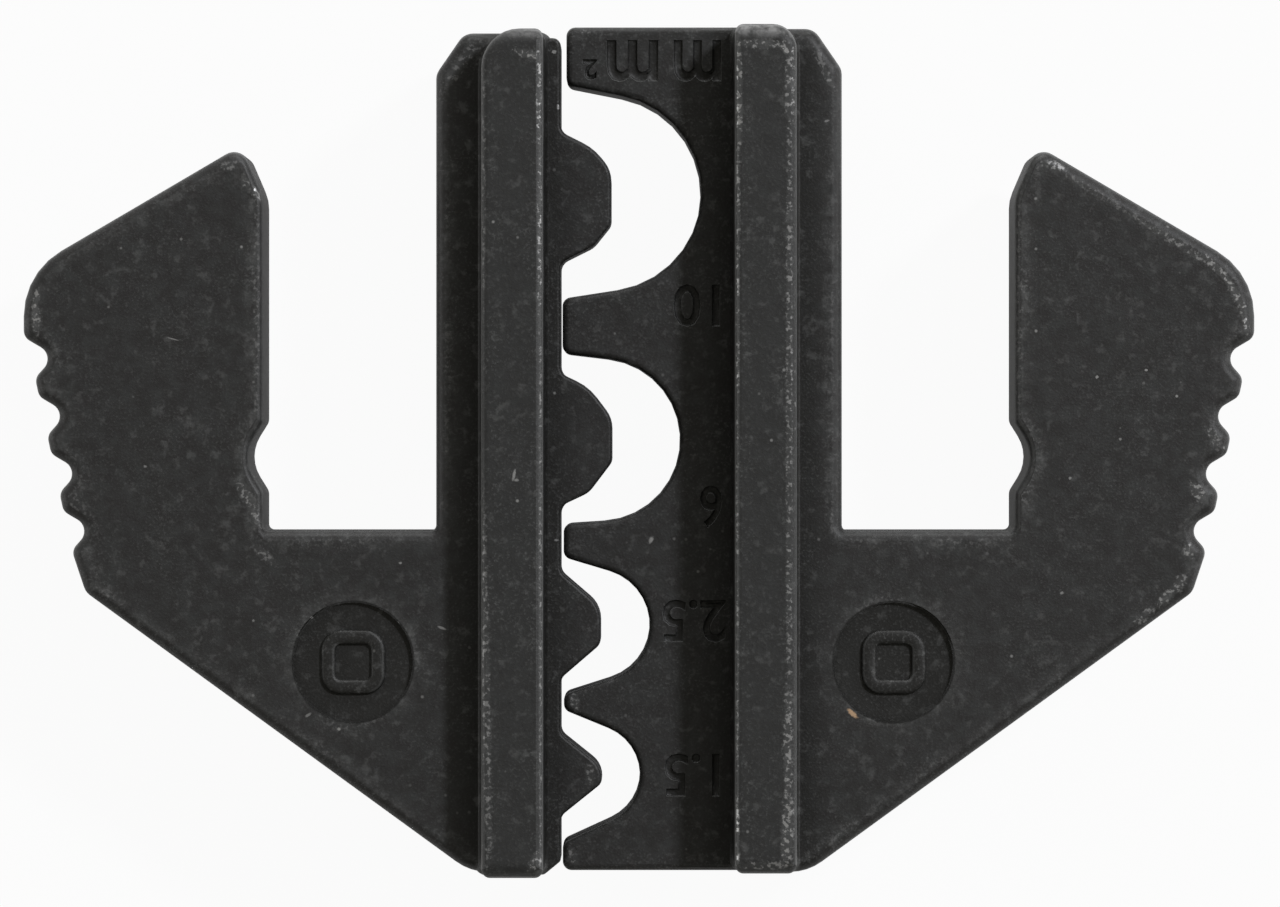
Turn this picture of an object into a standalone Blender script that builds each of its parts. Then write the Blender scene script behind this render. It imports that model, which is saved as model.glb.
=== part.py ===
# A pair of quick-change crimp die halves, lying closed: punch die on the left, anvil die on the right.
# Metres. X runs across the pair, Y along the jaws, Z up. The pair's middle is at X = Y = 0, and it lies
# on the undersides of its ribs at Z = 0. Rib, wing and nest plate share one middle plane.

import math

import bmesh
import bpy
from mathutils import Matrix, Vector

MM = 0.001

# Thicknesses, from the thick rib that carries the crimping force to the thin plate with the nests
RIB_THICKNESS = 10.0 * MM
WING_THICKNESS = 6.0 * MM
NEST_THICKNESS = 4.0 * MM

# Ribs. The seat wall is where a jaw of the tool pushes; the rib's shoulder stands in front of it.
END_STAGGER = 0.08 * MM
RIB_WIDTH = 2.30 * MM
SHOULDER_STEP = 1.59 * MM
RIB_DRAFT = 0.05 * MM
RIB_EDGE_RADIUS = 0.25 * MM
RIB_END_RADIUS = 0.55 * MM
RIB_CORNER_RADIUS = 0.35 * MM
RIB_ROOT_RADIUS = 0.22 * MM
ANVIL_SHOULDER_RADIUS = 0.90 * MM
PUNCH_SHOULDER_RADIUS = 1.40 * MM

# Plates stop short of the rib's ends
WING_END_STEP = 0.10 * MM
WING_TOE_STEP = 0.06 * MM
NEST_END_STEP = 0.01 * MM

# Rounding of the plates' edges. It is narrower on the walls of the wing that face the pair's middle. Plan
# corners inside the rib are rounded too, by more than any edge, so that the edge has room to turn.
WING_EDGE_RADIUS = 0.40 * MM
ARM_FACE_EDGE_WIDTH = 0.25 * MM
ANVIL_NEST_EDGE_RADIUS = 0.22 * MM
PUNCH_NEST_EDGE_RADIUS = 0.14 * MM
BURIED_CORNER_RADIUS = 0.50 * MM

# Wing: a slot that the jaw enters, an arm outside it, a finger grip on the arm's outer edge
WING_SPAN = 44.0 * MM
SLOT_WIDTH = 6.17 * MM
SLOT_DEPTH = 17.95 * MM
SLOT_CORNER_RADIUS = 0.20 * MM
SEAT_LEAD_LENGTH = 1.45 * MM
SEAT_LEAD_WIDTH = 1.00 * MM
SEAT_LEAD_RADIUS = 0.60 * MM
ARM_TIP_DROP = 4.17 * MM
ARM_TIP_SETBACK = 0.79 * MM
ARM_TIP_RADIUS = 0.57 * MM
ARM_LEAD_LENGTH = 1.85 * MM
ARM_LEAD_RADIUS = 1.50 * MM
ARM_TOP_SLOPE = math.radians(30.4)
NOSE_RADIUS = 2.70 * MM
NOSE_HEEL_RADIUS = 0.42 * MM
WING_HEEL_INSET = 0.50 * MM
WING_HEEL_FALL = 1.50 * MM
WING_HEEL_RADIUS = 0.60 * MM
WING_TOE_SETBACK = 1.22 * MM
WING_TOE_RADIUS = 1.90 * MM

# Detent in the arm's inner edge, above the slot's floor, which the jaw's catch drops into
DETENT_RISE = 2.64 * MM
DETENT_DEPTH = 0.53 * MM
DETENT_RADIUS = 1.40 * MM
DETENT_FLANK = math.radians(58.0)
DETENT_LIP_RADIUS = 0.40 * MM

# Finger grip: rounded teeth that step inwards down the arm, from below its nose
GRIP_TEETH = 4
GRIP_SLOPE = math.radians(12.0)
GRIP_PITCH = 2.10 * MM
GRIP_RISE = 0.63 * MM
GRIP_LAND = 0.68 * MM
GRIP_HEIGHT = 0.865 * MM
GRIP_INSET = 1.12 * MM
GRIP_FALL = 2.96 * MM
GRIP_ROOT_RADIUS = 0.48 * MM
GRIP_CREST_RADIUS = 0.42 * MM

# Nests of the anvil, from the top: round seats for the barrels of 10, 6, 2.5 and 1.5 mm2 lugs
NEST_RADIUS_10 = 3.53 * MM
NEST_RADIUS_6 = 2.92 * MM
NEST_RADIUS_2_5 = 2.02 * MM
NEST_RADIUS_1_5 = 1.80 * MM

# Between the ribs: the punch's land, the gap left when the dies are closed, and the anvil's nests with a
# wall behind the deepest. The anvil's teeth stand above the first nest and below each of them, with their
# widths at the tips. Each reaches into the gap by its own amount, as they are worn in use.
LAND_WIDTH = 0.56 * MM
CLOSED_GAP = 0.20 * MM
NEST_WALL = 1.14 * MM
TOOTH_WIDTHS = (2.00 * MM, 2.00 * MM, 1.24 * MM, 0.65 * MM, 1.15 * MM)
TOOTH_REACHES = (0.0, 0.14 * MM, 0.10 * MM, 0.09 * MM, 0.13 * MM)
TIP_RADIUS = 0.32 * MM

# Fillets of the bumps that press into the nests. Their upper shoulders are rounder than the lower ones.
BUMP_FOOT_RADIUS = 0.43 * MM
BUMP_UPPER_SIDE_RADIUS = 2.00 * MM
BUMP_UPPER_NOSE_RADIUS = 1.10 * MM
BUMP_LOWER_SIDE_RADIUS = 0.80 * MM
BUMP_LOWER_NOSE_RADIUS = 0.45 * MM

# Each nest with its bump, from the top, in shares of the nest's radius. A nest's centre lies behind the tips
# by its depth, and its flanks flare. A bump is half a profile, from its foot at the land to its nose, of
# heights and half widths. The widest bump sits a little below the middle of its nest.
CRIMPS = (
    {
        "radius": NEST_RADIUS_10,
        "depth": 0.365,
        "flares": (math.radians(11.2), math.radians(8.8)),
        "bump_shift": 0.045,
        "bump": ((0.0, 0.663), (0.334, 0.496), (0.513, 0.272)),
    },
    {
        "radius": NEST_RADIUS_6,
        "depth": 0.397,
        "flares": (math.radians(6.9), math.radians(3.7)),
        "bump_shift": 0.0,
        "bump": ((0.0, 0.812), (0.342, 0.651), (0.630, 0.271)),
    },
    {
        "radius": NEST_RADIUS_2_5,
        "depth": 0.475,
        "flares": (math.radians(16.7), math.radians(17.8)),
        "bump_shift": 0.0,
        "bump": ((0.0, 0.946), (0.708, 0.337)),
    },
    {
        "radius": NEST_RADIUS_1_5,
        "depth": 0.461,
        "flares": (math.radians(22.3), math.radians(24.6)),
        "bump_shift": 0.0,
        "bump": ((0.0, 0.822), (0.817, 0.167)),
    },
)

# Ends of the punch's plate: its head stops short of the rib, and its toe is cut back on a slant
PUNCH_HEAD_STEP = 0.22 * MM
PUNCH_HEAD_RADIUS = 0.30 * MM
PUNCH_TOE_HEIGHT = 0.49 * MM
PUNCH_TOE_WIDTH = 0.60 * MM
PUNCH_TOE_RADIUS = 0.20 * MM

# Shallow round pocket in each wing's upper face: beside the seat wall's line, and above the middle of the
# web that is left between the slot's floor and the wing's underside
POCKET_RADIUS = 2.20 * MM
POCKET_DEPTH = 0.28 * MM
POCKET_WALL_DRAFT = 0.08 * MM
ANVIL_POCKET_INSET = 1.85 * MM
ANVIL_POCKET_RISE = 0.29 * MM
PUNCH_POCKET_INSET = 2.96 * MM
PUNCH_POCKET_RISE = -0.11 * MM

# How finely arcs are cut: the most that one facet may turn, in plan and over an edge
PLAN_TURN = math.radians(12.0)
EDGE_FACETS = 3
POCKET_FACETS = 48


def nest_depth(crimp):
    """How far a nest's centre lies behind the tips of the teeth."""
    return crimp["depth"] * crimp["radius"]


def flank_reaches(crimp, depth):
    """How far a nest's upper and lower flanks are from its centre's height, at a depth in front of it."""
    return [crimp["radius"] / math.cos(flare) + depth * math.tan(flare) for flare in crimp["flares"]]


def crimp_drops():
    """How far the nests' centres are below the top of the ribs, and the length of all teeth and nests."""
    drops = []
    length = TOOTH_WIDTHS[0]
    for crimp, tooth in zip(CRIMPS, TOOTH_WIDTHS[1:]):
        above, below = flank_reaches(crimp, nest_depth(crimp))
        drops.append(length + above)
        length += above + below + tooth
    return drops, length


# Places that follow from the sizes above
CRIMP_DROPS, RIB_LENGTH = crimp_drops()
DEEPEST_NEST = max(nest_depth(crimp) + crimp["radius"] for crimp in CRIMPS)
MIDDLE_Z = RIB_THICKNESS / 2
RIB_TOP_Y = RIB_LENGTH / 2
RIB_INNER_X = (LAND_WIDTH + CLOSED_GAP + DEEPEST_NEST + NEST_WALL) / 2
RIB_OUTER_X = RIB_INNER_X + RIB_WIDTH
RIB_MIDDLE_X = (RIB_OUTER_X + RIB_INNER_X) / 2
LAND_X = LAND_WIDTH - RIB_INNER_X
TIP_LINE_X = LAND_X + CLOSED_GAP
SEAT_X = RIB_OUTER_X + SHOULDER_STEP
ARM_INNER_X = SEAT_X + SLOT_WIDTH
ARM_TIP_X = ARM_INNER_X + ARM_TIP_SETBACK
ARM_TIP_Y = RIB_TOP_Y - ARM_TIP_DROP
WING_OUTER_X = WING_SPAN / 2
NOSE_Y = ARM_TIP_Y - (WING_OUTER_X - ARM_TIP_X) * math.tan(ARM_TOP_SLOPE)
SLOT_FLOOR_Y = RIB_TOP_Y - SLOT_DEPTH
WING_TOE_X = SEAT_X - WING_TOE_SETBACK
WING_TOE_Y = -RIB_TOP_Y + WING_TOE_STEP


def clear_scene():
    for item in list(bpy.data.objects):
        bpy.data.objects.remove(item, do_unlink=True)


def black_oxide_steel(name):
    material = bpy.data.materials.new(name)
    material.use_nodes = True
    shader = material.node_tree.nodes["Principled BSDF"]
    shader.inputs["Base Color"].default_value = (0.032, 0.034, 0.034, 1.0)
    shader.inputs["Metallic"].default_value = 0.30
    shader.inputs["Roughness"].default_value = 0.48
    return material


def rounded_outline(corners):
    """Points and outward normals along an anticlockwise outline of (x, y, fillet radius) corners."""
    outline = []
    places = [Vector((x, y)) for x, y, _ in corners]
    runs = [(place - places[index - 1]).normalized() for index, place in enumerate(places)]
    turns = []
    for index, run_in in enumerate(runs):
        run_out = runs[(index + 1) % len(runs)]
        turns.append(math.atan2(run_in.cross(run_out), run_in.dot(run_out)))
    radii = fitting_radii(places, turns, [radius for _, _, radius in corners])
    for here, run_in, turn, radius in zip(places, runs, turns, radii):
        normal_in = Vector((run_in.y, -run_in.x))
        side = math.copysign(1.0, turn)
        tangent = radius * math.tan(abs(turn) / 2)
        centre = here - run_in * tangent - normal_in * radius * side
        steps = max(2, math.ceil(abs(turn) / PLAN_TURN))
        start = math.atan2(normal_in.y, normal_in.x)
        for step in range(steps + 1):
            angle = start + turn * step / steps
            normal = Vector((math.cos(angle), math.sin(angle)))
            outline.append((centre + normal * radius * side, normal))
    return outline


def fitting_radii(places, turns, radii):
    """The corners' fillet radii, made smaller where two fillets would not fit on the wall between them."""
    tangents = [radius * math.tan(abs(turn) / 2) for radius, turn in zip(radii, turns)]
    shares = [1.0] * len(places)
    for index, place in enumerate(places):
        wall = (place - places[index - 1]).length
        share = wall / max(tangents[index] + tangents[index - 1], wall)
        shares[index] = min(shares[index], share)
        shares[index - 1] = min(shares[index - 1], share)
    return [radius * share for radius, share in zip(radii, shares)]


def loft(name, outline, levels):
    """A closed solid of one ring per level: its height, then how far the wall that faces right, the wall
    that faces left and the end walls are drawn in there."""
    mesh = bmesh.new()
    rings = []
    for height, inset_right, inset_left, inset_end in levels:
        ring = []
        for point, normal in outline:
            x = point.x - normal.x * (inset_right if normal.x > 0 else inset_left)
            y = point.y - normal.y * inset_end
            ring.append(mesh.verts.new((x, y, height)))
        rings.append(ring)
    for lower, upper in zip(rings, rings[1:]):
        for index in range(len(lower)):
            other = (index + 1) % len(lower)
            mesh.faces.new((lower[index], lower[other], upper[other], upper[index]))
    mesh.faces.new(list(reversed(rings[0])))
    mesh.faces.new(rings[-1])
    data = bpy.data.meshes.new(name)
    mesh.to_mesh(data)
    mesh.free()
    item = bpy.data.objects.new(name, data)
    bpy.context.scene.collection.objects.link(item)
    return item


def edge_inset(height, half_thickness, radius):
    """How far a rounded edge draws a wall in, at a height above the middle plane."""
    into_edge = height - (half_thickness - radius)
    if into_edge <= 0:
        return 0.0
    return radius - math.sqrt(max(radius**2 - into_edge**2, 0.0))


def edge_heights(half_thickness, radius):
    """Heights above the middle plane at which a rounded edge gets a ring."""
    angles = [math.pi / 2 * step / EDGE_FACETS for step in range(EDGE_FACETS + 1)]
    return [half_thickness - radius + radius * math.sin(angle) for angle in angles]


def plate(name, corners, thickness, edge_radius, right_width, left_width):
    """A flat plate on the middle plane, its outline's edges rounded above and below. The rounding can be
    narrower than it is high on walls that face right, and on walls that face left."""
    half = thickness / 2
    upper = []
    for height in edge_heights(half, edge_radius):
        inset = edge_inset(height, half, edge_radius)
        share = inset / edge_radius
        upper.append((height, share * right_width, share * left_width, inset))
    return loft(name, rounded_outline(corners), both_ways(upper))


def root_flare(height, plate_thickness):
    """How far the fillet at the rib's root reaches out over a plate, at a height above the middle plane."""
    above = height - plate_thickness / 2
    if above <= -WING_EDGE_RADIUS or above >= RIB_ROOT_RADIUS:
        return 0.0
    drop = RIB_ROOT_RADIUS - max(above, 0.0)
    return RIB_ROOT_RADIUS - math.sqrt(RIB_ROOT_RADIUS**2 - drop**2)


def root_heights(plate_thickness):
    """Heights of the root fillet's rings, from inside the plate to where the fillet leaves the rib."""
    half = plate_thickness / 2
    angles = [math.pi / 2 * step / EDGE_FACETS for step in range(EDGE_FACETS + 1)]
    buried = [half - WING_EDGE_RADIUS, half - WING_EDGE_RADIUS / 2]
    return buried + [half + RIB_ROOT_RADIUS * (1 - math.cos(angle)) for angle in angles[1:]]


def both_ways(upper):
    """Levels above the middle plane, with the same ones mirrored below it."""
    lower = [(MIDDLE_Z - height, *insets) for height, *insets in reversed(upper)]
    return lower + [(MIDDLE_Z + height, *insets) for height, *insets in upper]


def rib(name, side, shoulder_radius):
    """The thick rib: drafted sides with small edge radii, fillets onto its plates, well rounded ends."""
    half = RIB_THICKNESS / 2
    heights = edge_heights(half, RIB_END_RADIUS)[:-1] + edge_heights(half, RIB_EDGE_RADIUS)
    heights += root_heights(WING_THICKNESS) + root_heights(NEST_THICKNESS)
    upper = []
    for height in sorted(heights):
        wall = RIB_DRAFT * height / half + edge_inset(height, half, RIB_EDGE_RADIUS)
        outer = wall - root_flare(height, WING_THICKNESS)
        inner = wall - root_flare(height, NEST_THICKNESS)
        right, left = (outer, inner) if side > 0 else (inner, outer)
        upper.append((height, right, left, edge_inset(height, half, RIB_END_RADIUS)))
    top, bottom = die_ends(side)
    corners = [
        (RIB_INNER_X, bottom, RIB_CORNER_RADIUS),
        (RIB_OUTER_X, bottom, RIB_CORNER_RADIUS),
        (RIB_OUTER_X, top, shoulder_radius),
        (RIB_INNER_X, top, RIB_CORNER_RADIUS),
    ]
    return loft(name, rounded_outline(mirrored(corners, side)), both_ways(upper))


def die_ends(side, step=0.0):
    """Top and bottom of a die along Y, less a step. The anvil lies a touch higher than the punch."""
    shift = side * END_STAGGER
    return RIB_TOP_Y + shift - step, -RIB_TOP_Y + shift + step


def mirrored(corners, side):
    """The right-hand corners as they are, or turned into the left-hand die's, still anticlockwise."""
    if side > 0:
        return corners
    return [(-x, y, radius) for x, y, radius in reversed(corners)]


def grip_point(along, outwards):
    """A point of the grip, from its first root, along the row of teeth and outwards from it."""
    x = WING_OUTER_X - GRIP_INSET - along * math.sin(GRIP_SLOPE) + outwards * math.cos(GRIP_SLOPE)
    y = NOSE_Y - GRIP_FALL - along * math.cos(GRIP_SLOPE) - outwards * math.sin(GRIP_SLOPE)
    return x, y


def heel_place():
    """The wing's lower outer corner, just below the last crest of the grip."""
    x, y = grip_point((GRIP_TEETH - 1) * GRIP_PITCH + GRIP_RISE, GRIP_HEIGHT)
    return x - WING_HEEL_INSET, y - WING_HEEL_FALL


def grip_corners():
    """Corners of the toothed edge, from the nose down to the last crest."""
    root = Vector(grip_point(0.0, 0.0))
    fall = GRIP_PITCH - GRIP_RISE - GRIP_LAND
    flank = Vector(grip_point(-fall, GRIP_HEIGHT)) - root
    nose_heel = root + flank * (GRIP_INSET / flank.x)
    corners = [(nose_heel.x, nose_heel.y, NOSE_HEEL_RADIUS)]
    for tooth in range(GRIP_TEETH):
        start = tooth * GRIP_PITCH
        corners.append((*grip_point(start, 0.0), GRIP_ROOT_RADIUS))
        corners.append((*grip_point(start + GRIP_RISE, GRIP_HEIGHT), GRIP_CREST_RADIUS))
        if tooth < GRIP_TEETH - 1:
            corners.append((*grip_point(start + GRIP_RISE + GRIP_LAND, GRIP_HEIGHT), GRIP_CREST_RADIUS))
    return corners


def detent_corners():
    """Corners of the catch's notch in the arm's inner edge, from its upper lip to its lower one."""
    place = SLOT_FLOOR_Y + DETENT_RISE
    peak = DETENT_DEPTH + DETENT_RADIUS * (1 / math.sin(DETENT_FLANK) - 1)
    reach = peak * math.tan(DETENT_FLANK)
    return [
        (ARM_INNER_X, place + reach, DETENT_LIP_RADIUS),
        (ARM_INNER_X + peak, place, DETENT_RADIUS),
        (ARM_INNER_X, place - reach, DETENT_LIP_RADIUS),
    ]


def wing(name, side):
    """The plate behind the rib: jaw slot, arm with detent and finger grip, and the sloping underside."""
    top, _ = die_ends(side, WING_END_STEP)
    outer_edge = [
        (*heel_place(), WING_HEEL_RADIUS),
        *reversed(grip_corners()),
        (WING_OUTER_X, NOSE_Y, NOSE_RADIUS),
    ]
    arm_inner_edge = [
        (ARM_TIP_X, ARM_TIP_Y, ARM_TIP_RADIUS),
        (ARM_INNER_X, ARM_TIP_Y - ARM_LEAD_LENGTH, ARM_LEAD_RADIUS),
        *detent_corners(),
    ]
    jaw_slot = [
        (ARM_INNER_X, SLOT_FLOOR_Y, SLOT_CORNER_RADIUS),
        (SEAT_X, SLOT_FLOOR_Y, SLOT_CORNER_RADIUS),
        (SEAT_X, top - SEAT_LEAD_LENGTH, SEAT_LEAD_RADIUS),
        (SEAT_X - SEAT_LEAD_WIDTH, top, SEAT_LEAD_RADIUS),
    ]
    root_x = RIB_INNER_X + RIB_WIDTH / 4
    root = [
        (root_x, top, BURIED_CORNER_RADIUS),
        (root_x, WING_TOE_Y, BURIED_CORNER_RADIUS),
        (WING_TOE_X, WING_TOE_Y, WING_TOE_RADIUS),
    ]
    corners = mirrored(outer_edge + arm_inner_edge + jaw_slot + root, side)
    widths = (WING_EDGE_RADIUS, ARM_FACE_EDGE_WIDTH)
    right_width, left_width = widths if side > 0 else reversed(widths)
    return plate(name, corners, WING_THICKNESS, WING_EDGE_RADIUS, right_width, left_width)


def nest_corner(crimp, drop):
    """Where a nest's two flared flanks would meet: a fillet of the nest's radius there is the nest."""
    upper, lower = crimp["flares"]
    radius = crimp["radius"]
    reach = radius * (1 / math.cos(upper) + 1 / math.cos(lower)) / (math.tan(upper) + math.tan(lower))
    rise = radius / math.cos(upper) - reach * math.tan(upper)
    return TIP_LINE_X + nest_depth(crimp) + reach, RIB_TOP_Y - drop + rise, radius


def anvil_nest_plate(name):
    """The thin plate with the four round nests between pointed teeth."""
    top, bottom = die_ends(1, NEST_END_STEP)
    tips = [TIP_LINE_X - reach for reach in TOOTH_REACHES]
    corners = [(tips[0], top, TIP_RADIUS)]
    for crimp, drop, upper_tip_x, lower_tip_x in zip(CRIMPS, CRIMP_DROPS, tips, tips[1:]):
        centre_x = TIP_LINE_X + nest_depth(crimp)
        above, _ = flank_reaches(crimp, centre_x - upper_tip_x)
        _, below = flank_reaches(crimp, centre_x - lower_tip_x)
        corners.append((upper_tip_x, RIB_TOP_Y - drop + above, TIP_RADIUS))
        corners.append(nest_corner(crimp, drop))
        corners.append((lower_tip_x, RIB_TOP_Y - drop - below, TIP_RADIUS))
    corners.append((tips[-1], bottom, TIP_RADIUS))
    corners.append((RIB_MIDDLE_X, bottom, BURIED_CORNER_RADIUS))
    corners.append((RIB_MIDDLE_X, top, BURIED_CORNER_RADIUS))
    edge = ANVIL_NEST_EDGE_RADIUS
    return plate(name, corners, NEST_THICKNESS, edge, edge, edge)


def bump_corners(crimp, drop):
    """Corners of one bump, from its lower foot over its nose to its upper foot."""
    radius = crimp["radius"]
    place = RIB_TOP_Y - drop - crimp["bump_shift"] * radius
    lower_fillets = [BUMP_FOOT_RADIUS, BUMP_LOWER_SIDE_RADIUS, BUMP_LOWER_NOSE_RADIUS]
    upper_fillets = [BUMP_FOOT_RADIUS, BUMP_UPPER_SIDE_RADIUS, BUMP_UPPER_NOSE_RADIUS]
    if len(crimp["bump"]) == 2:
        del lower_fillets[1], upper_fillets[1]
    lower = []
    upper = []
    for (height, half), lower_fillet, upper_fillet in zip(crimp["bump"], lower_fillets, upper_fillets):
        x = LAND_X + height * radius
        lower.append((x, place - half * radius, lower_fillet))
        upper.append((x, place + half * radius, upper_fillet))
    return lower + upper[::-1]


def punch_plate(name):
    """The thin plate whose land faces the tips, with one bump for each nest."""
    top, bottom = die_ends(-1, NEST_END_STEP)
    head = top - PUNCH_HEAD_STEP
    corners = [
        (-RIB_MIDDLE_X, head, BURIED_CORNER_RADIUS),
        (-RIB_MIDDLE_X, bottom, BURIED_CORNER_RADIUS),
        (LAND_X - PUNCH_TOE_WIDTH, bottom, PUNCH_TOE_RADIUS),
        (LAND_X, bottom + PUNCH_TOE_HEIGHT, PUNCH_TOE_RADIUS),
    ]
    for crimp, drop in zip(reversed(CRIMPS), reversed(CRIMP_DROPS)):
        corners += bump_corners(crimp, drop)
    corners.append((LAND_X, head, PUNCH_HEAD_RADIUS))
    edge = PUNCH_NEST_EDGE_RADIUS
    return plate(name, corners, NEST_THICKNESS, edge, edge, edge)


def web_middle(x):
    """Height along Y of the middle of the web between a slot's floor and the wing's underside."""
    heel_x, heel_y = heel_place()
    slope = (heel_y - WING_TOE_Y) / (heel_x - WING_TOE_X)
    underside = WING_TOE_Y + slope * (x - WING_TOE_X)
    return (SLOT_FLOOR_Y + underside) / 2


def pocket_cutter(name, side, inset, rise):
    """A shallow disc with a drafted wall, reaching out of the wing's upper face."""
    x = SEAT_X + inset
    centre = Vector((side * x, web_middle(x) + rise))
    outline = []
    for step in range(POCKET_FACETS):
        angle = 2 * math.pi * step / POCKET_FACETS
        normal = Vector((math.cos(angle), math.sin(angle)))
        outline.append((centre + normal * POCKET_RADIUS, normal))
    face = MIDDLE_Z + WING_THICKNESS / 2
    slope = POCKET_WALL_DRAFT / POCKET_DEPTH
    levels = []
    for height in (-POCKET_DEPTH, POCKET_DEPTH):
        draft = -slope * height
        levels.append((face + height, draft, draft, draft))
    return loft(name, outline, levels)


def combine(item, other, operation):
    """Joins other to item, or cuts it out, and leaves one mesh."""
    change = item.modifiers.new(operation.lower(), "BOOLEAN")
    change.operation = operation
    change.solver = "EXACT"
    change.object = other
    evaluated = item.evaluated_get(bpy.context.evaluated_depsgraph_get())
    data = bpy.data.meshes.new_from_object(evaluated)
    item.modifiers.clear()
    item.data = data
    bpy.data.objects.remove(other, do_unlink=True)


def finish(item, name, material, origin):
    """Names the die, gives it its material and smooth shading, and puts its origin at a point."""
    item.name = name
    item.data.name = name
    item.data.transform(Matrix.Translation(-origin))
    item.location = origin
    item.data.materials.clear()
    item.data.materials.append(material)
    item.data.shade_smooth()
    item.data.set_sharp_from_angle(angle=math.radians(35.0))


def build_die(name, side, shoulder_radius, working_plate, pocket, origin):
    """One die half: rib, wing and working plate as a single piece of steel, with its pocket."""
    item = rib(name + "_rib", side, shoulder_radius)
    combine(item, wing(name + "_wing", side), "UNION")
    combine(item, working_plate, "UNION")
    combine(item, pocket_cutter(name + "_pocket", side, *pocket), "DIFFERENCE")
    finish(item, name, black_oxide_steel(name + "_black_oxide"), origin)
    return item


def main():
    clear_scene()
    build_die(
        "anvil_die",
        1,
        ANVIL_SHOULDER_RADIUS,
        anvil_nest_plate("anvil_nests"),
        (ANVIL_POCKET_INSET, ANVIL_POCKET_RISE),
        Vector((TIP_LINE_X, 0.0, MIDDLE_Z)),
    )
    slide = bpy.data.objects.new("jaw_slide", None)
    bpy.context.scene.collection.objects.link(slide)
    slide.location = (LAND_X, 0.0, MIDDLE_Z)
    punch = build_die(
        "punch_die",
        -1,
        PUNCH_SHOULDER_RADIUS,
        punch_plate("punch_bumps"),
        (PUNCH_POCKET_INSET, PUNCH_POCKET_RISE),
        slide.location.copy(),
    )
    punch.parent = slide
    punch.location = (0.0, 0.0, 0.0)


main()
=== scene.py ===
import math

import bpy
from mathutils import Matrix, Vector


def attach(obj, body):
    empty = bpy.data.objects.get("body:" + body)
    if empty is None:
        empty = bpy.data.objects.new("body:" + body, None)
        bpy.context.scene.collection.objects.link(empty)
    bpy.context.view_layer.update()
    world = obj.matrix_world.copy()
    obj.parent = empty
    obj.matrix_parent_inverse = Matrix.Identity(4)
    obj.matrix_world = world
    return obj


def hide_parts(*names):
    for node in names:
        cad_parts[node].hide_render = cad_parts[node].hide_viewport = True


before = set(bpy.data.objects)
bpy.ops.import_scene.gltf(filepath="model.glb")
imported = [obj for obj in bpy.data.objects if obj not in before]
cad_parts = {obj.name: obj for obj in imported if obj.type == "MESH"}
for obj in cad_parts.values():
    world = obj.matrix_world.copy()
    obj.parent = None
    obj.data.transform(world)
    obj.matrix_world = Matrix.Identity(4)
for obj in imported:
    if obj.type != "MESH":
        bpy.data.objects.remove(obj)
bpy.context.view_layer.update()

mm = 0.001


def linear(hexColour):
    # sRGB hex to the linear values that the nodes expect
    parts = [int(hexColour[place:place + 2], 16) / 255 for place in (1, 3, 5)]
    return [part / 12.92 if part <= 0.04045 else ((part + 0.055) / 1.055) ** 2.4 for part in parts] + [1.0]


def selectOnly(*pieces):
    bpy.ops.object.select_all(action="DESELECT")
    for piece in pieces:
        piece.select_set(True)
    bpy.context.view_layer.objects.active = pieces[0]


def addNode(tree, kind, values=None, output=0, **settings):
    # A value that is another node's output is linked, and any other is typed in
    item = tree.nodes.new(kind)
    for name, setting in settings.items():
        setattr(item, name, setting)
    for socket, value in (values or {}).items():
        if isinstance(value, bpy.types.NodeSocket):
            tree.links.new(value, item.inputs[socket])
        else:
            item.inputs[socket].default_value = value
    return item.outputs[output]


# Steel

steel = {
    "oxide": "#323131",  # black oxide on the wide faces
    "oxidePale": "#3c3d3d",  # where it is thin, in fine mottling
    "ribOxide": "#363737",  # rib faces, rubbed by the fingers
    "paintedShade": "#161613",  # painted shade in the corners beside the ribs, along the pocket walls and in the sunk numbers
    "recess": "#242422",  # pocket floors, darker than the wide faces
    "pit": "#1b1c1c",
    "scuffAndSheen": "#7d7e7e",  # faint pale grit where the oxide is scuffed, and painted sheen on some rounded edges
    "speck": "#b5b5b4",  # pin pricks where the oxide is gone
    "rubbedAndLit": "#868787",  # rounded edges, partly polished by handling and partly painted light
    "bareAndGlint": "#cacaca",  # bare steel in dots where a flat face turns into its edge, partly painted glints of the lamp's highlight
    "speckPitch": 0.43,  # mm
    "edgeReach": 0.80,  # mm, how deep the test for outer edges looks
    "edgeSamples": 8,
    "grainDepth": 0.010,  # mm
    "waveDepth": 0.045,  # mm
    "roughness": 0.50,
    "bareRoughness": 0.42,
    "bareMetal": 0.8,  # how metallic the bare dots are
    # Grains and clouds: size in mm, detail, roughness. None divides a face's height evenly, because a
    # pattern is weaker there.
    "patterns": {
        "grain": (0.093, 2.0, 0.60),
        "mottle": (0.53, 4.0, 0.65),
        "cloud": (2.7, 2.0, 0.60),
        "smudge": (0.41, 3.0, 0.60),
        "dot": (0.17, 2.0, 0.60),
        "place": (2.3, 1.0, 0.50),
        "ragged": (0.083, 2.0, 0.50),
        "wave": (1.57, 1.0, 0.50),
    },
}

# Where the ribs, the plates between them and the pockets are, in mm
ribs = {
    "middle": 4.51,
    "halfWidth": 1.15,
    "corner": 1.3,  # width of the painted shade beside a rib
}
plate = {"face": 7.0}  # height of the upper face
pocket = {
    "anvil": 9.10,  # from the pair's middle, as for the punch
    "punch": 10.21,
    "y": -7.54,
    "radius": 2.2,
    "rim": 0.03,  # width over which the tone changes
    "bank": 0.35,  # width of the painted shade along the wall
}

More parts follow.
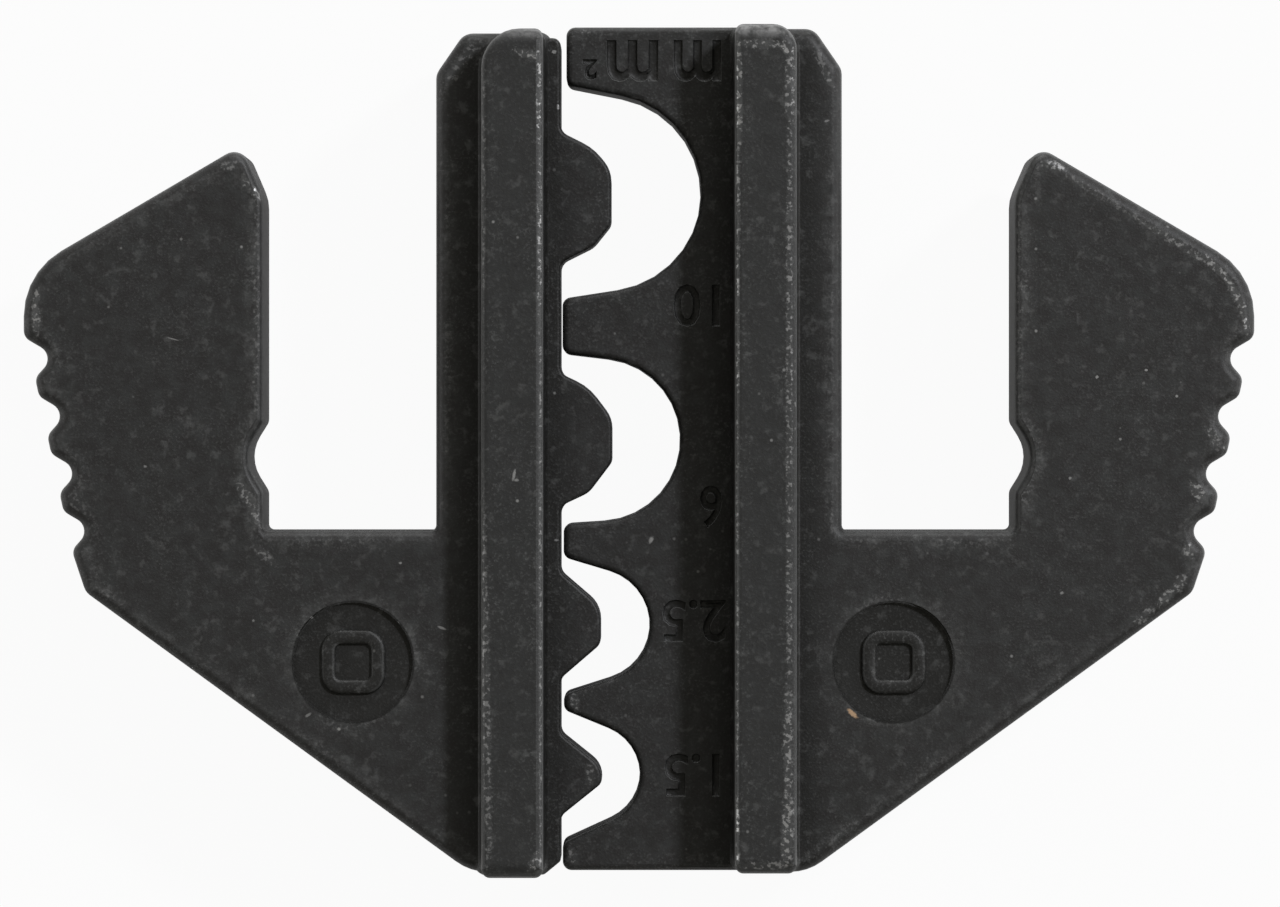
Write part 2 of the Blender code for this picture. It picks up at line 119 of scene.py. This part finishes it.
# Marks of use at their places: x, y, z, length, width in mm, turn in degrees, strength
chips = {
    "punchRib": (-4.44, -0.85, 10.0, 0.36, 0.10, 80, 0.8),
    "punchRibSide": (-4.35, -1.03, 10.0, 0.16, 0.09, 10, 0.6),
    "toothTwo": (0.43, -3.19, 7.0, 0.24, 0.13, 60, 0.8),
    "punchLand": (-2.97, -3.19, 7.0, 0.14, 0.09, 0, 0.6),
    "punchLandTop": (-3.04, 14.29, 7.0, 0.14, 0.12, 0, 0.9),
    "punchLandHigh": (-2.90, 12.32, 7.0, 0.16, 0.09, 90, 0.7),
    "armScratch": (-16.64, 4.00, 8.0, 0.34, 0.04, -15, 0.6),
    "armSpotOne": (16.36, 2.64, 8.0, 0.11, 0.09, 20, 0.9),
    "armSpotTwo": (18.11, 2.89, 8.0, 0.10, 0.08, 0, 1.0),
    "armSpotThree": (19.21, 1.96, 8.0, 0.09, 0.09, 0, 0.9),
    "armSpotFour": (15.40, -0.97, 8.0, 0.09, 0.08, 0, 0.7),
    "armSpotFive": (15.10, -5.07, 8.0, 0.11, 0.09, 0, 0.6),
    "webSpotOne": (-11.82, -9.43, 8.0, 0.20, 0.09, 30, 0.5),
    "webSpotTwo": (-10.71, -9.93, 8.0, 0.11, 0.10, 0, 1.0),
    "webSpotThree": (-8.53, -4.00, 8.0, 0.10, 0.08, 0, 0.7),
    "webSpotFour": (-7.04, -6.32, 8.0, 0.26, 0.09, -20, 0.6),
    "pocketRim": (-11.68, -5.96, 8.0, 0.12, 0.10, 0, 0.7),
    "leadOne": (6.46, 14.05, 8.0, 0.42, 0.10, 112, 0.35),
    "leadTwo": (6.79, 13.25, 8.0, 0.16, 0.10, 0, 0.5),
    "leadThree": (6.71, 11.79, 8.0, 0.18, 0.07, 20, 0.5),
}
fleck = {"place": (7.62, -9.37, 8.0, 0.46, 0.15, -42, 1.0), "colour": "#dcb894"}  # speck of rust

# Edges that handling has bared, and on the right arm's slope and nose partly the lamp's highlight painted
# in: lines told in the same way as the marks above
wornAndGlintLines = {
    "anvilRibInnerTop": (3.56, 12.61, 10.0, 4.15, 0.20, 90, 1.00),
    "anvilRibInnerHigh": (3.52, 8.91, 10.0, 4.76, 0.16, 90, 0.60),
    "anvilRibInner": (3.49, 4.39, 10.0, 6.52, 0.16, 90, 0.80),
    "anvilRibInnerMiddle": (3.47, -5.65, 10.0, 16.48, 0.16, 90, 0.50),
    "anvilRibInnerLow": (3.46, -13.46, 10.0, 2.43, 0.20, 90, 0.95),
    "anvilRibFoot": (3.44, -14.33, 10.0, 0.78, 0.25, 90, 1.00),
    "anvilRibTop": (4.42, 14.45, 10.0, 1.94, 0.29, -2, 0.70),
    "anvilRibCorner": (5.26, 14.31, 10.0, 0.60, 0.33, -51, 1.00),
    "anvilRibOuterTop": (5.36, 13.03, 10.0, 2.95, 0.33, 90, 0.70),
    "anvilRibOuter": (5.34, 1.28, 10.0, 23.95, 0.22, 90, 0.60),
    "anvilRibOuterLow": (5.30, -10.62, 10.0, 4.81, 0.29, 90, 0.80),
    "anvilRibOuterFoot": (5.26, -13.53, 10.0, 2.68, 0.41, 88, 0.95),
    "anvilRibBottom": (4.44, -14.74, 10.0, 1.83, 0.29, 0, 0.65),
    "punchRibTop": (-3.91, 14.08, 10.0, 0.94, 0.29, -18, 0.90),
    "punchRibInnerTop": (-3.56, 12.66, 10.0, 3.24, 0.18, -90, 0.90),
    "punchRibInnerHigh": (-3.52, 8.03, 10.0, 8.27, 0.16, -90, 0.75),
    "punchRibInner": (-3.49, -4.58, 10.0, 21.94, 0.13, -90, 0.45),
    "punchRibFoot": (-3.62, -14.52, 10.0, 1.03, 0.37, 55, 0.80),
    "punchRibBack": (-5.55, 9.52, 10.0, 9.23, 0.20, 90, 0.30),
    "punchRibBackLow": (-5.45, -8.31, 10.0, 13.02, 0.29, -89, 0.50),
    # painted highlight where the lamp catches the right arm's slope and nose, with bare dots in it
    "rightSlopeHigh": (16.24, 9.27, 8.0, 3.80, 0.22, -32, 0.24),
    "rightSlope": (19.32, 7.35, 8.0, 3.90, 0.24, -32, 0.50),
    "rightNoseTop": (20.71, 6.45, 8.0, 1.48, 0.26, -46, 0.90),
    "rightNose": (21.29, 5.64, 8.0, 1.52, 0.28, -62, 1.00),
    "rightNoseLow": (21.63, 4.79, 8.0, 1.36, 0.24, -78, 1.00),
    "rightTip": (14.91, 10.20, 8.0, 0.84, 0.33, -15, 0.60),
    "rightArmInner": (13.55, 5.04, 8.0, 8.79, 0.30, 90, 0.20),
    "gripToothTwo": (20.63, 0.36, 8.0, 1.11, 0.37, -56, 0.50),
    "gripToothThree": (19.93, -1.43, 8.0, 0.79, 0.41, -54, 0.80),
    "gripToothFour": (19.63, -3.55, 8.0, 0.55, 0.33, -75, 0.70),
    "underGripTop": (19.32, -4.71, 8.0, 0.74, 0.37, 60, 0.60),
    "underGrip": (18.82, -5.25, 8.0, 0.75, 0.33, 45, 0.75),
    "underGripLow": (18.04, -5.93, 8.0, 0.90, 0.33, 41, 0.50),
    "leftNoseTop": (-21.54, 5.45, 8.0, 0.70, 0.24, 75, 0.80),
    "leftNose": (-21.54, 4.80, 8.0, 1.11, 0.26, -88, 1.00),
    "leftTip": (-13.66, 9.18, 8.0, 0.57, 0.25, -67, 1.00),
    "leftTipInner": (-14.07, 9.63, 8.0, 0.53, 0.25, -70, 0.60),
    "leftTipTop": (-14.64, 10.20, 8.0, 0.67, 0.33, 20, 0.40),
    "leftArmInner": (-13.66, 4.95, 8.0, 8.57, 0.22, -90, 0.22),
    "leftNotch": (-13.89, -1.86, 8.0, 1.69, 0.37, -62, 0.60),
    "leftSlotCorner": (-13.39, -3.71, 8.0, 0.92, 0.37, -41, 0.35),
    "rightWingCorner": (6.59, 13.75, 8.0, 1.58, 0.30, -65, 0.35),
    "leftWingCorner": (-6.39, 13.75, 8.0, 2.10, 0.37, 54, 0.30),
    "toothHigh": (-2.18, 14.85, 7.0, 0.75, 0.29, 24, 0.50),
    "toothThree": (-2.29, -9.03, 7.0, 0.65, 0.29, -74, 0.50),
    "toothFoot": (-2.35, -14.51, 7.0, 0.73, 0.29, -73, 0.40),
    "bumpFoot": (-1.74, -11.50, 7.0, 1.01, 0.33, 83, 0.35),
}


spotShape = {
    "reach": 0.25,  # mm above and below its face
    "raggedness": 1.1,
    "outside": 1.95,  # where it starts, and where it is full, in its own radii with the raggedness added
    "inside": 1.15,
}


def addSpot(tree, coords, ragged, spot):
    # Its strength inside a blob with soft ragged edges, 0 outside it
    x, y, z, length, width, turn, strength = spot
    local = addNode(tree, "ShaderNodeMapping", {
        "Vector": coords,
        "Location": (x * mm, y * mm, z * mm),
        "Rotation": (0, 0, math.radians(turn)),
        "Scale": (length * mm / 2, width * mm / 2, spotShape["reach"] * mm),
    }, vector_type="TEXTURE")
    reach = addNode(tree, "ShaderNodeVectorMath", {0: local}, "Value", operation="LENGTH")
    uneven = addNode(
        tree, "ShaderNodeMath", {0: ragged, 1: spotShape["raggedness"], 2: reach}, operation="MULTIPLY_ADD",
    )
    return addNode(tree, "ShaderNodeMapRange", {
        "Value": uneven, "From Min": spotShape["outside"], "From Max": spotShape["inside"],
        "To Max": strength,
    }, interpolation_type="SMOOTHSTEP")


def mouldedSteelWithBlackOxide():
    # Steel moulded from powder, sintered and blackened. The eye sees a dull charcoal skin with a fine
    # sandy grain, cloudy where the oxide is thin, and bare bright steel in dots along every outer edge.
    # Shade in its corners, pocket walls and sunk numbers, and some edge highlights, are painted into the
    # colour.
    material = bpy.data.materials.new("moulded steel, black oxide")
    material.use_nodes = True
    tree = material.node_tree
    shader = tree.nodes["Principled BSDF"]
    coords = addNode(tree, "ShaderNodeTexCoord", output="Object")
    facing = coords.node.outputs["Normal"]

    pattern = {}
    for name, (size, detail, roughness) in steel["patterns"].items():
        pattern[name] = addNode(tree, "ShaderNodeTexNoise", {
            "Vector": coords, "Scale": 1 / (size * mm), "Detail": detail, "Roughness": roughness,
        })

    # Measures: place in mm, how level the surface is, and how much it faces the pair's middle
    place = addNode(tree, "ShaderNodeVectorMath", {0: coords, 3: 1 / mm}, operation="SCALE")
    sideways = addNode(tree, "ShaderNodeSeparateXYZ", {0: place}, "X")
    along = sideways.node.outputs["Y"]
    height = sideways.node.outputs["Z"]
    normalX = addNode(tree, "ShaderNodeSeparateXYZ", {0: facing}, "X")
    level = addNode(tree, "ShaderNodeMath", {0: normalX.node.outputs["Z"]}, operation="ABSOLUTE")
    offMiddle = addNode(tree, "ShaderNodeMath", {0: sideways}, operation="ABSOLUTE")
    fromRib = addNode(tree, "ShaderNodeMath", {0: offMiddle, 1: ribs["middle"]}, operation="SUBTRACT")
    offRib = addNode(tree, "ShaderNodeMath", {0: fromRib}, operation="ABSOLUTE")
    sign = addNode(tree, "ShaderNodeMath", {0: sideways}, operation="SIGN")
    outward = addNode(tree, "ShaderNodeMath", {0: sign, 1: normalX}, operation="MULTIPLY")
    acrossPockets = addNode(tree, "ShaderNodeMapRange", {
        "Value": sign, "From Min": -1.0, "From Max": 1.0,
        "To Min": pocket["punch"], "To Max": pocket["anvil"],
    })
    fromPocket = addNode(tree, "ShaderNodeCombineXYZ", {
        0: addNode(tree, "ShaderNodeMath", {0: offMiddle, 1: acrossPockets}, operation="SUBTRACT"),
        1: addNode(tree, "ShaderNodeMath", {0: along, 1: pocket["y"]}, operation="SUBTRACT"),
    })
    fromPocket = addNode(tree, "ShaderNodeVectorMath", {0: fromPocket}, "Value", operation="LENGTH")
    depth = addNode(
        tree, "ShaderNodeAmbientOcclusion", {"Distance": steel["edgeReach"] * mm}, "AO",
        samples=steel["edgeSamples"], inside=True, only_local=True,
    )

    # Shares from 0 to 1: what is measured, where the share starts and where it is full
    shadeEnd = ribs["halfWidth"] + ribs["corner"]
    pocketIn, pocketOut = pocket["radius"] - pocket["rim"], pocket["radius"] + pocket["rim"]
    share = {}
    for name, (measure, low, high) in {
        "pale": (pattern["mottle"], 0.36, 0.70),
        "pit": (pattern["grain"], 0.36, 0.24),
        "grit": (pattern["grain"], 0.50, 0.78),
        "cloudy": (pattern["cloud"], 0.40, 0.66),
        "smudged": (pattern["smudge"], 0.54, 0.74),
        "uneven": (pattern["smudge"], 0.32, 0.62),
        "dotted": (pattern["dot"], 0.50, 0.64),
        "patchy": (pattern["place"], 0.40, 0.70),
        "onRib": (height, 9.0, 9.9),
        "offRibFace": (height, 9.0, 8.3),
        "besideRib": (offRib, shadeEnd, ribs["halfWidth"] + 0.15),
        "inPocket": (fromPocket, pocketOut, pocketIn),
        "offPocket": (fromPocket, pocketIn, pocketOut),
        "pocketBank": (fromPocket, pocket["radius"] - pocket["bank"], pocket["radius"]),
        "abovePlate": (height, plate["face"] + 0.1, plate["face"] + 0.4),
        "sunk": (height, plate["face"] - 0.01, plate["face"] - 0.09),
        "aboveSunk": (height, plate["face"] - 0.26, plate["face"] - 0.18),
        "betweenRibs": (offRib, ribs["halfWidth"] - 0.05, ribs["halfWidth"] + 0.05),
        "inner": (offMiddle, ribs["middle"] + 0.05, ribs["middle"] - 0.05),
        "turned": (level, 0.70, 0.35),
        "notUpright": (level, 0.02, 0.20),
        "notDown": (normalX.node.outputs["Y"], -0.5, -0.1),
        "nearEdge": (depth, 1.0, 0.86),
        "atEdge": (depth, 0.93, 0.82),
        "edge": (depth, 0.90, 0.72),
        "crest": (level, 0.93, 0.995),
        "innerTurn": (level, 0.995, 0.93),
        "innerRise": (level, 0.60, 0.80),
        "facesIn": (outward, 0.0, -0.2),
        "facesOut": (outward, -0.10, -0.02),
        "offRib": (height, 9.2, 8.4),
        "ribTop": (along, 14.55, 15.25),
    }.items():
        share[name] = addNode(
            tree, "ShaderNodeMapRange", {"Value": measure, "From Min": low, "From Max": high},
            interpolation_type="SMOOTHSTEP",
        )

    # Pin pricks: one small dot in a few of the cells
    cells = addNode(tree, "ShaderNodeTexVoronoi", {
        "Vector": coords, "Scale": 1 / (steel["speckPitch"] * mm), "Randomness": 1.0,
    }, "Color")
    chosen = addNode(tree, "ShaderNodeSeparateColor", {0: cells})
    for name, (measure, low, high) in {
        "few": (chosen, 0.88, 0.96),
        "prick": (cells.node.outputs["Distance"], 0.17, 0.07),
        "bright": (chosen.node.outputs[1], 0.1, 1.0),
    }.items():
        share[name] = addNode(tree, "ShaderNodeMapRange", {
            "Value": measure, "From Min": low, "From Max": high,
        })

    # Worn lines and chips
    spots = {"wornAndGlintLine": wornAndGlintLines, "chip": chips}
    for name, group in spots.items():
        blobs = [addSpot(tree, coords, pattern["ragged"], spot) for spot in group.values()]
        share[name] = blobs[0]
        for blob in blobs[1:]:
            share[name] = addNode(tree, "ShaderNodeMath", {0: share[name], 1: blob}, operation="MAXIMUM")
    share["rust"] = addSpot(tree, coords, pattern["ragged"], fleck["place"])

    # Colour, one layer on another: strength, the shares that it is limited by, and its tone
    flatRim = ("atEdge", "crest", "offRib", "facesOut", "abovePlate", "offPocket")
    colour = addNode(tree, "ShaderNodeMix", {
        0: share["pale"], 6: linear(steel["oxide"]), 7: linear(steel["oxidePale"]),
    }, 2, data_type="RGBA")
    for strength, limits, tone in (
        (0.55, ("onRib",), steel["ribOxide"]),
        (0.75, ("inPocket",), steel["recess"]),
        # painted shade on the pocket floor along its wall
        (0.35, ("inPocket", "pocketBank"), steel["paintedShade"]),
        # painted shade on the plates beside each rib, where the rib hides part of the light
        (0.65, ("besideRib", "offRibFace"), steel["paintedShade"]),
        # painted shade in the sunk numbers, standing in for the shade that deeper grooves would cast
        (0.50, ("sunk", "aboveSunk", "betweenRibs", "inner", "notUpright"), steel["paintedShade"]),
        (0.55, ("pit",), steel["pit"]),
        (0.12, ("grit",), steel["scuffAndSheen"]),
        (0.22, ("grit", "cloudy"), steel["scuffAndSheen"]),
        (0.28, ("smudged",), steel["scuffAndSheen"]),
        (0.26, ("nearEdge", "uneven", "grit"), steel["scuffAndSheen"]),
        (0.80, ("prick", "few", "bright"), steel["speck"]),
        # paler rounded edges: partly polish, partly painted light, kept off the edges that face -Y, which
        # the light leaves dark
        (0.80, ("edge", "turned", "notUpright", "notDown", "offPocket"), steel["rubbedAndLit"]),
        # paler band on rounded edges that face the middle: partly scuffing, partly painted light that fills
        # their shaded dip
        (0.30, ("edge", "innerTurn", "innerRise", "facesIn", "abovePlate"), steel["scuffAndSheen"]),
        # pale band on the crest of outer edges: partly wear, partly a painted highlight placed where the
        # lamp lights the real, wider rounding
        (0.24, flatRim + ("uneven",), steel["scuffAndSheen"]),
        # the rib ends that face +Y: partly rubbed bare, partly painted light where the back light catches
        # them
        (0.60, ("ribTop", "onRib", "notUpright", "uneven"), steel["bareAndGlint"]),
        (0.30, ("wornAndGlintLine",), steel["scuffAndSheen"]),
    ):
        amount = strength
        for limit in limits:
            amount = addNode(tree, "ShaderNodeMath", {0: share[limit], 1: amount}, operation="MULTIPLY")
        colour = addNode(tree, "ShaderNodeMix", {0: amount, 6: colour, 7: linear(tone)}, 2, data_type="RGBA")

    # Bare steel and painted glints: dots along the crest of an outer edge, which is sharper where it faces
    # the middle
    bareAndGlint = share["chip"]
    for strength, limits in (
        # crest dots: partly bare steel, partly painted glints of the lamp's highlight
        (0.25, flatRim + ("dotted", "patchy")),
        (1.00, ("wornAndGlintLine", "dotted")),
    ):
        amount = strength
        for limit in limits:
            amount = addNode(tree, "ShaderNodeMath", {0: share[limit], 1: amount}, operation="MULTIPLY")
        bareAndGlint = addNode(tree, "ShaderNodeMath", {0: bareAndGlint, 1: amount}, operation="MAXIMUM")
    for amount, tone in ((bareAndGlint, steel["bareAndGlint"]), (share["rust"], fleck["colour"])):
        colour = addNode(tree, "ShaderNodeMix", {0: amount, 6: colour, 7: linear(tone)}, 2, data_type="RGBA")

    shine = addNode(tree, "ShaderNodeMath", {0: bareAndGlint, 1: steel["bareMetal"]}, operation="MULTIPLY")
    gloss = addNode(tree, "ShaderNodeMix", {0: bareAndGlint, 2: steel["roughness"], 3: steel["bareRoughness"]})
    waves = addNode(tree, "ShaderNodeBump", {
        "Height": pattern["wave"], "Strength": 1.0, "Distance": steel["waveDepth"] * mm,
    })
    fine = addNode(tree, "ShaderNodeBump", {
        "Height": pattern["grain"], "Normal": waves, "Strength": 1.0, "Distance": steel["grainDepth"] * mm,
    })
    tree.links.new(colour, shader.inputs["Base Color"])
    tree.links.new(shine, shader.inputs["Metallic"])
    tree.links.new(gloss, shader.inputs["Roughness"])
    tree.links.new(fine, shader.inputs["Normal"])
    return material


# Dies: the CAD halves with their numbers sunk in and a plain raised mark in each pocket

skin = {
    "weld": 0.0015,  # mm between two points that are one
    "flat": 0.4,  # degrees between two triangles that are one face
    "smooth": 40,  # degrees up to which an edge turns smoothly
}

mark = {
    "centres": {
        "anvil_die": (pocket["anvil"], pocket["y"]),
        "punch_die": (-pocket["punch"], pocket["y"]),
    },
    "width": 2.3,  # mm
    "stroke": 0.52,
    "corner": 0.72,  # plan corners, rounder than the stroke is wide
    "cornerSteps": 6,
    "floor": 7.72,  # height of the pocket's floor
    "rise": 0.20,
    "root": 0.1,  # how deep it reaches into the floor, so that both join
    "softness": 0.16,
    "softSteps": 4,
}

numbers = {
    "depth": 0.11,  # mm
    "softness": 0.10,
    "widening": 0.05,
    "turn": 180,  # degrees: they read from the other end
    "capHeight": 0.7,  # capitals and digits of the built-in face, as a share of its size
    "curveSteps": 3,
    "softSteps": 2,
    "weld": 0.0005,  # share of its size between two points that are one
    "words": (
        # text, centre x and y, width and height, in mm
        ("m", 2.095, 13.97, 1.72, 1.50),
        ("m", -0.233, 13.97, 1.86, 1.50),
        ("2", -1.76, 13.66, 0.52, 0.75),
        ("10", 2.06, 5.21, 1.68, 1.54),
        ("6", 2.58, -2.00, 0.80, 1.54),
        ("2.5", 1.97, -6.09, 2.29, 1.54),
        ("1.5", 1.90, -11.60, 2.00, 1.54),
    ),
}


def copyNode(nodeName, pieceName):
    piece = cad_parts[nodeName].copy()
    piece.data = piece.data.copy()
    piece.name = pieceName
    piece.data.name = pieceName
    bpy.context.scene.collection.objects.link(piece)
    piece.parent = None
    selectOnly(piece)
    bpy.ops.object.mode_set(mode="EDIT")
    bpy.ops.mesh.select_all(action="SELECT")
    bpy.ops.mesh.remove_doubles(threshold=skin["weld"] * mm)
    bpy.ops.mesh.dissolve_limited(angle_limit=math.radians(skin["flat"]))
    bpy.ops.object.mode_set(mode="OBJECT")
    return piece


def combine(piece, other, operation):
    change = piece.modifiers.new("join", "BOOLEAN")
    change.operation = operation
    change.solver = "EXACT"
    change.object = other
    selectOnly(piece)
    bpy.ops.object.modifier_apply(modifier=change.name)
    bpy.data.objects.remove(other, do_unlink=True)


def sinkWord(piece, words, x, y, width, height):
    bpy.ops.object.select_all(action="DESELECT")
    bpy.ops.object.text_add(location=(0, 0, 0))
    glyphs = bpy.context.object
    em = height * mm / numbers["capHeight"]
    glyphs.data.body = words
    glyphs.data.resolution_u = numbers["curveSteps"]
    glyphs.data.offset = (numbers["widening"] - numbers["softness"]) * mm / em
    glyphs.data.bevel_depth = numbers["softness"] * mm / em
    glyphs.data.bevel_resolution = numbers["softSteps"]
    glyphs.data.extrude = (numbers["depth"] - numbers["softness"]) * mm / em
    bpy.ops.object.convert(target="MESH")
    glyphs = bpy.context.object
    bpy.ops.object.mode_set(mode="EDIT")
    bpy.ops.mesh.select_all(action="SELECT")
    bpy.ops.mesh.remove_doubles(threshold=numbers["weld"])
    bpy.ops.mesh.normals_make_consistent(inside=False)
    bpy.ops.object.mode_set(mode="OBJECT")
    low = [min(corner[axis] for corner in glyphs.bound_box) for axis in range(3)]
    high = [max(corner[axis] for corner in glyphs.bound_box) for axis in range(3)]
    glyphs.scale = (width * mm / (high[0] - low[0]), height * mm / (high[1] - low[1]), em)
    glyphs.rotation_euler.z = math.radians(numbers["turn"])
    bpy.context.view_layer.update()
    middle = glyphs.matrix_world @ Vector([(least + most) / 2 for least, most in zip(low, high)])
    glyphs.location = Vector((x * mm, y * mm, plate["face"] * mm)) - middle
    bpy.ops.object.transform_apply(location=True, rotation=True, scale=True)
    combine(piece, glyphs, "DIFFERENCE")


def addMark(piece, centre):
    # Hollow square with soft edges that stands on the pocket's floor
    x, y = centre
    tall = mark["rise"] + mark["root"]
    bpy.ops.object.select_all(action="DESELECT")
    bpy.ops.mesh.primitive_cube_add(
        size=1,
        location=(x * mm, y * mm, (mark["floor"] + mark["rise"] - tall / 2) * mm),
        scale=(mark["width"] * mm, mark["width"] * mm, tall * mm),
    )
    ring = bpy.context.object
    bpy.ops.object.transform_apply(location=True, rotation=True, scale=True)
    bpy.ops.object.mode_set(mode="EDIT")
    bpy.ops.mesh.select_mode(type="EDGE")
    bpy.ops.mesh.select_all(action="DESELECT")
    bpy.ops.object.mode_set(mode="OBJECT")
    for edge in ring.data.edges:
        first, second = (ring.data.vertices[corner].co for corner in edge.vertices)
        edge.select = abs(first.z - second.z) > tall * mm / 2
    bpy.ops.object.mode_set(mode="EDIT")
    bpy.ops.mesh.bevel(offset=mark["corner"] * mm, segments=mark["cornerSteps"])
    bpy.ops.mesh.select_mode(type="FACE")
    bpy.ops.mesh.select_all(action="DESELECT")
    bpy.ops.object.mode_set(mode="OBJECT")
    for face in ring.data.polygons:
        face.select = abs(face.normal.z) > 0.5
    bpy.ops.object.mode_set(mode="EDIT")
    bpy.ops.mesh.inset(thickness=mark["stroke"] * mm)
    bpy.ops.mesh.bridge_edge_loops()
    bpy.ops.mesh.select_all(action="SELECT")
    bpy.ops.mesh.normals_make_consistent(inside=False)
    bpy.ops.object.mode_set(mode="OBJECT")
    soften = ring.modifiers.new("soften", "BEVEL")
    soften.width = mark["softness"] * mm
    soften.segments = mark["softSteps"]
    selectOnly(ring)
    bpy.ops.object.modifier_apply(modifier=soften.name)
    combine(piece, ring, "UNION")


def smooth(piece):
    # Wide flat faces stay flat, and the rounded edges between them turn smoothly
    selectOnly(piece)
    bpy.ops.object.shade_smooth_by_angle(angle=math.radians(skin["smooth"]))
    even = piece.modifiers.new("even", "WEIGHTED_NORMAL")
    even.mode = "FACE_AREA"
    even.weight = 100
    even.keep_sharp = True
    bpy.ops.object.modifier_apply(modifier=even.name)


def dressDie(nodeName, body, words):
    piece = copyNode(nodeName, nodeName + "_steel")
    for word in words:
        sinkWord(piece, *word)
    addMark(piece, mark["centres"][nodeName])
    smooth(piece)
    piece.data.materials.clear()
    piece.data.materials.append(blackOxide)
    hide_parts(nodeName)
    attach(piece, body)
    print(piece.name, len(piece.data.polygons), "faces")


blackOxide = mouldedSteelWithBlackOxide()
print("steel mixed")
dressDie("anvil_die", "anvil", numbers["words"])
dressDie("punch_die", "punch", ())

# Table: white to the camera, with the dies' soft shadow kept

table = {
    "size": 3.0,  # metres
    "below": 0.02,  # mm under the ribs, so that the faces don't meet
    "colour": "#f4f4f4",
    "roughness": 0.9,
    "gloss": 0.1,
    "glow": 0.95,  # share of plain white that the camera sees in it
    "glowInSteel": 0.24,  # the same for reflections, which keep more of its shade
}


def whitePaper():
    # Matt photo paper. The eye sees plain white, a little greyer where the dies shade it.
    material = bpy.data.materials.new("white paper")
    material.use_nodes = True
    tree = material.node_tree
    shader = tree.nodes["Principled BSDF"]
    shader.inputs["Base Color"].default_value = linear(table["colour"])
    shader.inputs["Roughness"].default_value = table["roughness"]
    shader.inputs["Specular IOR Level"].default_value = table["gloss"]
    direct = addNode(tree, "ShaderNodeLightPath", output="Is Camera Ray")
    path = direct.node.outputs
    seen = addNode(tree, "ShaderNodeMath", {0: direct, 1: path["Is Transmission Ray"]}, operation="MAXIMUM")
    seen = addNode(tree, "ShaderNodeMath", {0: seen, 1: table["glow"]}, operation="MULTIPLY")
    mirrored = addNode(
        tree, "ShaderNodeMath", {0: path["Is Glossy Ray"], 1: table["glowInSteel"]}, operation="MULTIPLY"
    )
    share = addNode(tree, "ShaderNodeMath", {0: seen, 1: mirrored}, operation="MAXIMUM")
    white = addNode(tree, "ShaderNodeEmission", {"Color": (1, 1, 1, 1), "Strength": 1.0})
    mixed = addNode(tree, "ShaderNodeMixShader", {0: share, 1: shader.outputs[0], 2: white})
    tree.links.new(mixed, tree.nodes["Material Output"].inputs["Surface"])
    return material


bpy.ops.object.select_all(action="DESELECT")
bpy.ops.mesh.primitive_plane_add(size=table["size"], location=(0, 0, -table["below"] * mm))
paper = bpy.context.object
paper.name = "table"
bpy.ops.object.transform_apply(location=True, rotation=True, scale=True)
paper.data.materials.append(whitePaper())
print("table laid")

# Light: a softbox from the upper right, low wide ones behind the dies and at both sides, and a dim room

lamps = {
    # turn from +X towards +Y and height above the table in degrees, distance and size in metres, watts
    "softbox": {
        "turn": 38, "height": 48, "distance": 0.60, "size": 0.065, "power": 1.27, "colour": "#f9faff",
    },
    "backlight": {
        "turn": 90, "height": 12, "distance": 0.60, "size": 0.30, "power": 1.3, "colour": "#ffffff",
    },
    "leftLight": {
        "turn": 180, "height": 12, "distance": 0.60, "size": 0.30, "power": 0.6, "colour": "#ffffff",
    },
    "rightLight": {
        "turn": 0, "height": 10, "distance": 0.60, "size": 0.30, "power": 0.8, "colour": "#ffffff",
    },
}
room = {"strength": 0.145, "colour": "#fffbec"}

for name, lamp in lamps.items():
    turn, rise = math.radians(lamp["turn"]), math.radians(lamp["height"])
    aim = Vector((math.cos(rise) * math.cos(turn), math.cos(rise) * math.sin(turn), math.sin(rise)))
    lampData = bpy.data.lights.new(name, "AREA")
    lampData.shape = "SQUARE"
    lampData.size = lamp["size"]
    lampData.energy = lamp["power"]
    lampData.color = linear(lamp["colour"])[:3]
    light = bpy.data.objects.new(name, lampData)
    light.location = aim * lamp["distance"]
    light.rotation_euler = aim.to_track_quat("Z", "Y").to_euler()
    bpy.context.scene.collection.objects.link(light)

world = bpy.data.worlds.new("room")
bpy.context.scene.world = world
world.use_nodes = True
background = world.node_tree.nodes["Background"]
background.inputs["Color"].default_value = linear(room["colour"])
background.inputs["Strength"].default_value = room["strength"]
print("light set")

# Camera: straight above, as the photograph was taken

view = {
    "place": (0.036, -0.089, 358.0),  # mm
    "lens": 275.6,  # mm
    "sensor": 36,  # mm
    "nearest": 0.01,  # metres
}

camData = bpy.data.cameras.new("photograph")
camData.sensor_width = view["sensor"]
camData.lens = view["lens"]
camData.clip_start = view["nearest"]
camera = bpy.data.objects.new("photograph", camData)
camera.location = Vector(view["place"]) * mm
bpy.context.scene.collection.objects.link(camera)
bpy.context.scene.camera = camera
bpy.context.scene.view_settings.view_transform = "Standard"
print("camera placed")
